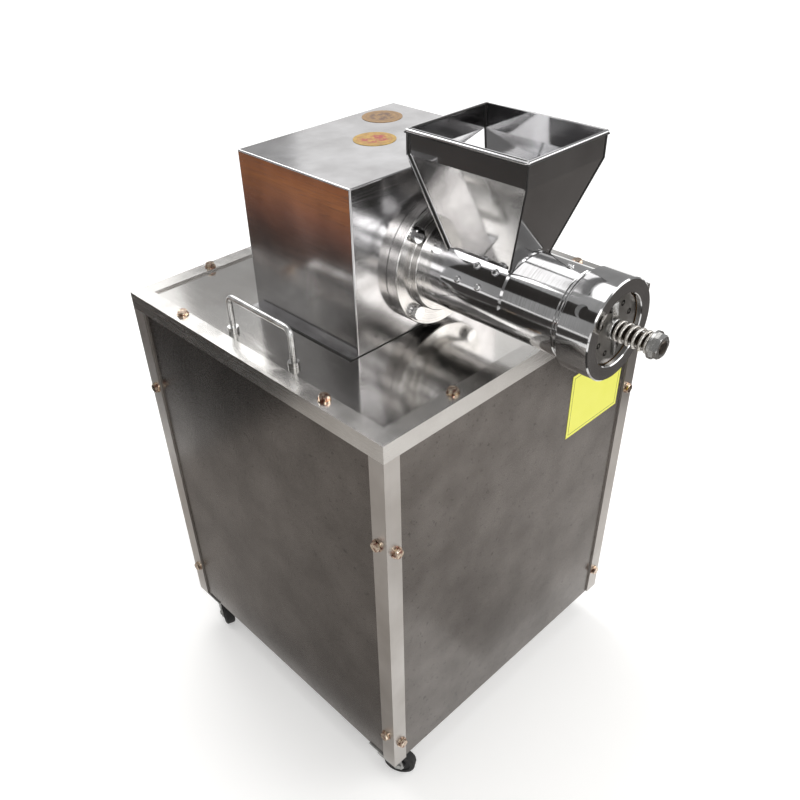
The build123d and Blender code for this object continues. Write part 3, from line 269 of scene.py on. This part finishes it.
def foil_stickers():
    """Two gold foil stickers, each with a faint ring and a mottled middle: crinkled, with a soft glint."""
    radius, ring_r, ring_core, ring_edge = 28 * mm, 22 * mm, 0.7 * mm, 1.1 * mm
    middle_r, middle_fade_r = 15 * mm, 21 * mm
    blot_mm, crinkle_mm = 11, 5
    material, tree, shader, place = new_material("gold_foil_sticker", Metallic=0.55, Roughness=0.34)
    low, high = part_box("cover_stickers")
    centres = [Vector((high.x - radius, high.y - radius, high.z)),
               Vector((low.x + radius, low.y + radius, high.z))]
    lengths = []
    for centre in centres:
        centred = add(tree, "Mapping", {"Vector": place, "Location": -centre})
        lengths.append(add(tree, "VectorMath", {0: centred.outputs[0]}, operation="LENGTH").outputs["Value"])
    reach = add(tree, "Math", {0: lengths[0], 1: lengths[1]}, operation="MINIMUM")
    ring_gap = add(tree, "Math", {0: reach.outputs[0], 1: ring_r}, operation="SUBTRACT")
    ring_apart = add(tree, "Math", {0: ring_gap.outputs[0]}, operation="ABSOLUTE")
    ring = add(tree, "MapRange", {"Value": ring_apart.outputs[0], "From Min": ring_core,
                                  "From Max": ring_edge, "To Min": 0.35, "To Max": 0.0})
    blots = add(tree, "TexNoise", {"Vector": place, "Scale": 1 / (blot_mm * mm), "Detail": 4.0,
                                   "Roughness": 0.7})
    inside = add(tree, "MapRange", {"Value": reach.outputs[0], "From Min": middle_r,
                                    "From Max": middle_fade_r, "To Min": 1.0, "To Max": 0.0})
    blot = add(tree, "MapRange", {"Value": blots.outputs["Fac"], "From Min": 0.46, "From Max": 0.54})
    middle = add(tree, "Math", {0: inside.outputs[0], 1: blot.outputs[0]}, operation="MULTIPLY")
    print_mask = add(tree, "Math", {0: middle.outputs[0], 1: ring.outputs[0]}, operation="MAXIMUM")
    crinkle = add(tree, "TexNoise", {"Vector": place, "Scale": 1 / (crinkle_mm * mm), "Detail": 3.0})
    far = add(tree, "Math", {0: lengths[0], 1: lengths[1]}, operation="LESS_THAN").outputs[0]
    ground = add(tree, "Mix", {0: far, 6: linear("#DDB545"), 7: linear("#B08A50")}, data_type="RGBA")
    mottled = add(tree, "Mix", {0: crinkle.outputs["Fac"], 6: linear("#7A5426"), 7: ground.outputs[2]},
                  data_type="RGBA")
    ink = add(tree, "Mix", {0: far, 6: linear("#A83C34"), 7: linear("#64432A")}, data_type="RGBA")
    inked = add(tree, "Mix", {0: print_mask.outputs[0], 6: mottled.outputs[2], 7: ink.outputs[2]},
                data_type="RGBA")
    surface(tree, shader, inked.outputs[2], crinkle.outputs["Fac"], 0.03)
    return material


finishes = {
    upright_bar: ["corner_posts"],
    across_bar: ["top_rails", "bottom_rails"],
    dark_painted_skin_sheet: ["front_panel", "rear_panel", "left_panel", "right_panel", "base_plate"],
    bright_sheet: ["hopper", "feed_saddle"],
    satin_sheet: ["gearbox_cover"],
    deck_sheet: ["top_plate"],
    faced_steel: ["mounting_flange"],
    lathe_steel: ["barrel", "die_cap", "saddle_screws", "flange_bolts", "auger"],
    satin_bar: ["lift_handles", "handle_collars", "stud_nuts", "cutter_stud", "cutter_blade"],
    die_steel: ["die_plate", "die_inserts"],
    zinc_plate: ["frame_screws"],
    caster_zinc: ["caster_plates", "caster_fork_1", "caster_fork_2", "caster_fork_3", "caster_fork_4",
                  "motor_rails"],
    spring_wire: ["cutter_spring"],
    cast_iron: ["gear_housing", "gear_housing_lid", "driven_pulley", "motor_pulley"],
    motor_enamel: ["motor_housing", "motor_end_bells", "fan_cowl", "terminal_box"],
    gear_steel: ["output_gear", "pinion_shaft", "bearings", "motor_rotor"],
    sintered_bronze: ["slip_ring"],
    black_rubber: ["caster_wheel_1", "caster_wheel_2", "caster_wheel_3", "caster_wheel_4", "v_belts",
                   "shaft_seal"],
    black_plastic: ["motor_fan", "cable_gland"],
    grey_plastic: ["control_box"],
    green_plastic: ["start_button"],
    red_plastic: ["stop_button"],
    printed_label(): ["front_label"],
    foil_stickers(): ["cover_stickers"],
}
for material, names in finishes.items():
    for name in names:
        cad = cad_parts[name]
        if not cad.material_slots:
            cad.data.materials.append(material)
        for holder in cad.material_slots:
            holder.material = material


# ---------------------------------------------------------------- pieces

def piece(name, shape, material, body, replaced=()):
    """Makes a piece of a finished bmesh, with smooth skins and crisp edges, riding on a body."""
    bmesh.ops.recalc_face_normals(shape, faces=shape.faces)
    mesh = bpy.data.meshes.new(name)
    shape.to_mesh(mesh)
    shape.free()
    mesh.shade_smooth()
    mesh.set_sharp_from_angle(angle=radians(38))
    mesh.materials.append(material)
    made = bpy.data.objects.new(name, mesh)
    bpy.context.scene.collection.objects.link(made)
    if replaced:
        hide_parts(*replaced)
    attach(made, body)
    return made


def points_of(geometry):
    """The vertices in what a bmesh operator gives back."""
    return [part for part in geometry if isinstance(part, bmesh.types.BMVert)]


def turn(shape, profile, steps=48):
    """Turns a profile of (radius, y) round the barrel's axis."""
    points = [shape.verts.new((axis_x + radius, y, axis_z)) for radius, y in profile]
    edges = [shape.edges.new(pair) for pair in zip(points, points[1:] + points[:1])]
    bmesh.ops.spin(shape, geom=points + edges, cent=(axis_x, 0, axis_z), axis=(0, 1, 0), angle=2 * pi,
                   steps=steps, use_merge=True)


def coil_spring():
    """Compression spring round the stud: its end coils lie closer together than the rest."""
    low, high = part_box("cutter_spring")
    wire_r, wire_sides, steps_a_turn = 2 * mm, 14, 30
    coil_r = (high.x - low.x) / 2 - wire_r
    end_turns, end_pitch, pitch = 0.85, 4.7 * mm, 8 * mm
    climb = high.y - low.y - 2 * wire_r
    middle_turns = (climb - 2 * end_turns * end_pitch) / pitch
    shape = bmesh.new()
    start = Matrix.Translation((axis_x + coil_r, high.y - wire_r, axis_z))
    ring = bmesh.ops.create_circle(shape, segments=wire_sides, radius=wire_r, matrix=start)["verts"]
    last = ring + shape.edges[:]
    for turns, rise in ((end_turns, end_pitch), (middle_turns, pitch), (end_turns, end_pitch)):
        steps = round(turns * steps_a_turn)
        last = bmesh.ops.spin(shape, geom=last, cent=(axis_x, 0, axis_z), axis=(0, 1, 0),
                              dvec=(0, -turns * rise / steps, 0), angle=turns * 2 * pi,
                              steps=steps)["geom_last"]
    bmesh.ops.holes_fill(shape, edges=shape.edges, sides=0)
    made = piece("coil_spring", shape, spring_wire, "screw", ["cutter_spring"])
    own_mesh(made)


def threaded_stud():
    """M16 stud: plain where the die hides it, then a 2 mm thread to its chamfered end."""
    low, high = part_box("cutter_stud")
    radius = (high.x - low.x) / 2
    root_r, pitch, steps = radius - 1.2 * mm, 2 * mm, 24
    thread_y = cover_low.y - 268 * mm
    end_chamfer, weld = 1.3 * mm, 0.01 * mm
    shape = bmesh.new()
    profile = [(root_r, 0), (radius, 0.72), (radius, 0.98), (root_r, 1.72), (root_r, 2.0)]
    points = [shape.verts.new((axis_x + r, thread_y - y * mm, axis_z)) for r, y in profile]
    edges = [shape.edges.new(pair) for pair in zip(points, points[1:])]
    bmesh.ops.spin(shape, geom=points + edges, cent=(axis_x, 0, axis_z), axis=(0, 1, 0),
                   dvec=(0, -pitch / steps, 0), angle=2 * pi, steps=steps)
    turns = 1
    while turns * pitch < thread_y - low.y + pitch:
        copy = bmesh.ops.duplicate(shape, geom=shape.verts[:] + shape.edges[:] + shape.faces[:])["geom"]
        bmesh.ops.translate(shape, vec=(0, -turns * pitch, 0), verts=points_of(copy))
        turns *= 2
    bmesh.ops.remove_doubles(shape, verts=shape.verts, dist=weld)
    cut = bmesh.ops.bisect_plane(shape, geom=shape.verts[:] + shape.edges[:] + shape.faces[:],
                                 clear_outer=True, plane_co=(0, low.y, 0), plane_no=(0, -1, 0))["geom_cut"]
    bmesh.ops.holes_fill(shape, edges=[part for part in cut if isinstance(part, bmesh.types.BMEdge)], sides=0)
    for vert in shape.verts:
        out = Vector((vert.co.x - axis_x, 0, vert.co.z - axis_z))
        limit = radius - end_chamfer + (vert.co.y - low.y)
        if out.length > limit:
            vert.co -= out * (1 - limit / out.length)
    turn(shape, [(0, high.y), (radius, high.y), (radius, thread_y), (0, thread_y)], 32)
    bmesh.ops.remove_doubles(shape, verts=shape.verts, dist=weld)
    piece("threaded_stud", shape, oiled_and_shaded_thread, "screw", ["cutter_stud"])


def propeller_blade():
    """Two arms ground to an edge on opposite sides, so that each leads as the screw turns."""
    low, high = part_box("cutter_blade")
    middle = (low.y + high.y) / 2
    hub_r, bore_r, reach, arm_width = 12 * mm, 8.3 * mm, 35 * mm, 8 * mm
    arm_root = bore_r + 1 * mm
    ground_back, edge_round, chamfer = 2.5 * mm, 0.25 * mm, 0.5 * mm
    lean = radians(-12)
    shape = bmesh.new()
    place = Matrix.Translation((axis_x, middle, axis_z + (arm_root + reach) / 2))
    size = Matrix.Diagonal((arm_width, high.y - low.y, reach - arm_root, 1))
    arm = bmesh.ops.create_cube(shape, size=1.0, matrix=place @ size)["verts"]
    edge = [vert for vert in arm if vert.co.x < axis_x and vert.co.y < middle]
    bmesh.ops.translate(shape, vec=(0, ground_back, 0), verts=edge)
    bmesh.ops.bevel(shape, geom=shape.edges[:], offset=edge_round, segments=2, profile=0.5, affect="EDGES",
                    material=-1)
    bmesh.ops.spin(shape, geom=shape.verts[:] + shape.edges[:] + shape.faces[:], cent=(axis_x, 0, axis_z),
                   axis=(0, 1, 0), angle=pi, steps=1, use_duplicate=True)
    bmesh.ops.rotate(shape, cent=(axis_x, 0, axis_z), matrix=Matrix.Rotation(lean, 3, "Y"), verts=shape.verts)
    turn(shape, [(bore_r, high.y), (hub_r, high.y), (hub_r, low.y + chamfer), (hub_r - chamfer, low.y),
                 (bore_r + chamfer, low.y), (bore_r, low.y + chamfer)])
    piece("propeller_blade", shape, satin_bar, "cutter", ["cutter_blade"])


def bead(shape, points, radius):
    """Round bead along straight runs between points."""
    runs = [Vector(after) - Vector(before) for before, after in zip(points, points[1:])]
    turned = runs[0].to_track_quat("Z", "Y").to_matrix().to_4x4()
    ring = bmesh.ops.create_circle(shape, cap_ends=True, segments=8, radius=radius,
                                   matrix=Matrix.Translation(points[0]) @ turned)["verts"]
    last = [face for face in shape.faces if all(vert in ring for vert in face.verts)]
    for run in runs:
        last = bmesh.ops.extrude_face_region(shape, geom=last, use_keep_orig=True)["geom"]
        bmesh.ops.translate(shape, vec=run, verts=points_of(last))
        last = [part for part in last if isinstance(part, bmesh.types.BMFace)]


def hopper_seams():
    """Painted shade: dark lines along both sides of the hopper's standing seams, inside its corners and under
    its rim, standing for the shadow and dark reflection there.
    """
    # Half width, half depth and height over the barrel's axis at the throat, the fold and the rim, in mm
    levels = ((35.0, 46.0, 39.0), (65.8, 83.7, 152.0), (65.8, 83.7, 177.0))
    # How far out in X and Y each line lies, and its radius: two outside the corner and one inside
    lines = ((0.3, -2.1, 0.9), (1.2, 0.5, 0.8), (-1.9, -1.9, 0.8))
    rim_half_x, rim_half_y, rim_line_r = 68.8, 83.7, 0.9
    shape = bmesh.new()
    for side_x in (-1, 1):
        for side_y in (-1, 1):
            for out_x, out_y, radius in lines:
                bead(shape, [(axis_x + side_x * (x + out_x) * mm, hopper_y + side_y * (y + out_y) * mm,
                              axis_z + z * mm) for x, y, z in levels], radius * mm)
    for out, z in ((1.2, 177.0), (-1.7, 179.9)):
        x, y = (rim_half_x + out) * mm, (rim_half_y + out) * mm
        corners = [(axis_x + side_x * x, hopper_y + side_y * y, axis_z + z * mm)
                   for side_x, side_y in ((-1, -1), (1, -1), (1, 1), (-1, 1))]
        for start, end in zip(corners, corners[1:] + corners[:1]):
            bead(shape, [start, end], rim_line_r * mm)
    piece("hopper_seam_shade_lines", shape, seam_shade_paint, "cabinet")


def cover_foot_shade():
    """Painted shade: black beads where the gearbox cover's lips and front stand on the deck, standing for the
    shadow in that joint.
    """
    lip_bead_r, end_bead_r = 1.9 * mm, 0.8 * mm
    shape = bmesh.new()
    z = cover_low.z + 0.4 * mm
    front, back = cover_low.y + 0.6 * mm, cover_high.y - 0.6 * mm
    for x in (cover_low.x, cover_high.x):
        bead(shape, [(x, front, z), (x, back, z)], lip_bead_r)
    for y in (cover_low.y, cover_high.y):
        bead(shape, [(cover_low.x, y, z), (cover_high.x, y, z)], end_bead_r)
    piece("cover_foot_shade", shape, seam_shade_paint, "cabinet")


coil_spring()
threaded_stud()
propeller_blade()
hopper_seams()
cover_foot_shade()


# ---------------------------------------------------------------- studio

def camera():
    """Three-quarter view from the front left, looking down on the deck."""
    data = bpy.data.cameras.new("camera")
    made = bpy.data.objects.new("camera", data)
    bpy.context.scene.collection.objects.link(made)
    right = Vector((0.718022, -0.695509, -0.026667))
    up = Vector((0.438124, 0.421870, 0.793772))
    back = Vector((-0.540825, -0.581629, 0.607631))
    turned = Matrix((right, up, back)).transposed().to_4x4()
    made.matrix_world = Matrix.Translation((-0.7359, cover_low.y - 0.6708, 1.2276)) @ turned
    data.sensor_width = 36.0
    data.lens = 36.78
    data.shift_x = 0.0169
    data.shift_y = 0.0531
    data.clip_start = 0.05
    bpy.context.scene.camera = made


def lamp(name, place, target, size, power):
    """Soft rectangular lamp aimed at a point."""
    data = bpy.data.lights.new(name, "AREA")
    data.shape = "RECTANGLE"
    data.size, data.size_y = size
    data.energy = power
    made = bpy.data.objects.new(name, data)
    bpy.context.scene.collection.objects.link(made)
    made.location = place
    made.rotation_mode = "QUATERNION"
    made.rotation_quaternion = (Vector(target) - Vector(place)).to_track_quat("-Z", "Y")


def stage_sheet(name, shape, material, mirrored_only):
    """Sheet of the studio, either seen outright or only mirrored in polished steel."""
    mesh = bpy.data.meshes.new(name)
    shape.to_mesh(mesh)
    shape.free()
    mesh.materials.append(material)
    made = bpy.data.objects.new(name, mesh)
    bpy.context.scene.collection.objects.link(made)
    if mirrored_only:
        made.visible_camera = False
        made.visible_diffuse = False
        made.visible_shadow = False


def floor():
    """Matt studio paper that shows white to the camera and in the steel, and keeps the shadow."""
    shape = bmesh.new()
    bmesh.ops.create_grid(shape, x_segments=1, y_segments=1, size=12.0)
    material, tree, shader, place = new_material("matt_studio_paper", Roughness=0.85)
    shader.inputs["Base Color"].default_value = linear("#F3F2F0")
    shader.inputs["Emission Color"].default_value = linear("#FFFFFF")
    ray = add(tree, "LightPath").outputs
    direct = add(tree, "Math", {0: ray["Is Camera Ray"], 1: ray["Is Glossy Ray"]}, operation="MAXIMUM")
    seen = add(tree, "Math", {0: direct.outputs[0], 1: ray["Is Transmission Ray"]}, operation="MAXIMUM")
    away = add(tree, "VectorMath", {0: place}, operation="LENGTH").outputs["Value"]
    lift = add(tree, "MapRange", {"Value": away, "From Min": 1.2, "From Max": 4.0,
                                  "To Min": 0.3, "To Max": 0.8})
    glow = add(tree, "Math", {0: seen.outputs[0], 1: lift.outputs[0]}, operation="MULTIPLY")
    tree.links.new(glow.outputs[0], shader.inputs["Emission Strength"])
    stage_sheet("floor", shape, material, mirrored_only=False)


def card(name, x, y, height_mm, stops):
    """Card lying over the floor, to be mirrored in the steel. stops are its colours along X."""
    shape = bmesh.new()
    bmesh.ops.create_grid(shape, x_segments=1, y_segments=1, size=0.5)
    bmesh.ops.scale(shape, vec=(x[1] - x[0], y[1] - y[0], 1.0), verts=shape.verts)
    bmesh.ops.translate(shape, vec=((x[0] + x[1]) / 2, (y[0] + y[1]) / 2, height_mm * mm), verts=shape.verts)
    material, tree, shader, place = new_material(name, Roughness=0.9)
    across = add(tree, "SeparateXYZ", {0: place})
    share = add(tree, "MapRange", {"Value": across.outputs["X"], "From Min": x[0], "From Max": x[1]})
    colours = add(tree, "ValToRGB", {"Fac": share.outputs[0]})
    ramp = colours.color_ramp
    ramp.elements.remove(ramp.elements[1])
    ramp.elements[0].color = linear(stops[0][1])
    for position, colour in stops[1:]:
        ramp.elements.new(position).color = linear(colour)
    tree.links.new(colours.outputs["Color"], shader.inputs["Base Color"])
    stage_sheet(name, shape, material, mirrored_only=True)


def flag(name, place, target, radius, colour):
    """Round black flag that keeps a patch of the surround out of the steel's reflections."""
    shape = bmesh.new()
    facing = (Vector(target) - Vector(place)).to_track_quat("Z", "Y").to_matrix().to_4x4()
    bmesh.ops.create_circle(shape, cap_ends=True, segments=48, radius=radius,
                            matrix=Matrix.Translation(place) @ facing)
    material, tree, shader, _ = new_material(name, Roughness=0.9)
    shader.inputs["Base Color"].default_value = linear(colour)
    stage_sheet(name, shape, material, mirrored_only=True)


def surround():
    """Plain pale surround."""
    made = bpy.data.worlds.new("studio")
    bpy.context.scene.world = made
    made.use_nodes = True
    tree = made.node_tree
    tree.nodes.clear()
    glow = add(tree, "Background", {"Color": linear("#F2F2F2"), "Strength": 0.45})
    add(tree, "OutputWorld", {"Surface": glow.outputs[0]})


camera()
floor()
surround()
lamp("softbox_overhead", (0.2, 0.2, 2.8), (0.2, 0.21, 0.0), (1.6, 1.6), 16.0)
lamp("softbox_high_rear", (0.57, 1.82, 2.62), (-0.2, 0.2, 0.7), (1.2, 1.2), 24.0)
lamp("softbox_wall_left", (0.22, 2.15, 1.75), (0.0, 0.0, 0.8), (1.1, 1.2), 4.2)
lamp("softbox_wall_right", (2.08, 1.97, 1.85), (0.0, 0.0, 0.8), (1.24, 1.3), 3.6)
lamp("softbox_left_rear", (-0.78, 1.25, 2.4), (-0.1, 0.0, 0.8), (0.7, 0.7), 4.6)
lamp("softbox_front_left", (-1.42, -2.14, 2.46), (-0.1, -0.1, 0.75), (0.85, 0.85), 11.0)
lamp("softbox_low_left", (-1.9, -1.6, 1.12), (-0.07, -0.1, 0.72), (1.0, 0.45), 4.5)
lamp("softbox_front_low", (-0.25, -2.45, 1.63), (-0.05, -0.2, 0.82), (1.7, 0.55), 8.5)
lamp("softbox_front_right", (1.9, -2.3, 2.1), (0.0, -0.1, 0.5), (2.4, 1.6), 36.0)
card("dark_felt_rear", (-6.0, -0.62), (0.78, 4.5), 2, [(0.0, "#4A4643")])
card("black_felt_rear", (-1.05, -0.56), (0.75, 1.6), 4, [(0.0, "#181614")])
card("grey_felt_left", (-1.5, -0.3), (-0.3, 0.78), 2, [(0.0, "#BDB8B3")])
card("black_felt_front", (-0.80, -0.14), (-1.40, -0.60), 2, [(0.0, "#2C2926")])
card("black_felt_left", (-1.7, -0.80), (-1.02, -0.50), 2, [(0.0, "#2C2926")])
card("dark_felt_front", (-2.8, -1.35), (-2.6, -1.40), 2, [(0.0, "#3A3734")])
card("grey_felt_front", (0.02, 0.9), (-1.2, -0.28), 2, [(0.0, "#E4E1DE")])
card("dark_felt_right", (0.9, 4.0), (-2.6, 0.3), 2, [(0.0, "#5A5653")])
card("warm_board", (-1.85, -1.34), (1.3, 3.6), 4,
     [(0.0, "#4A3A30"), (0.25, "#E87E46"), (0.5, "#F6A85C"), (0.78, "#B0706A"), (1.0, "#463E3A")])
flag("black_flag_left", (-1.80, 1.17, 2.1), (-0.1, 0.0, 0.8), 0.60, "#2A2725")
bpy.context.scene.view_settings.view_transform = "Standard"
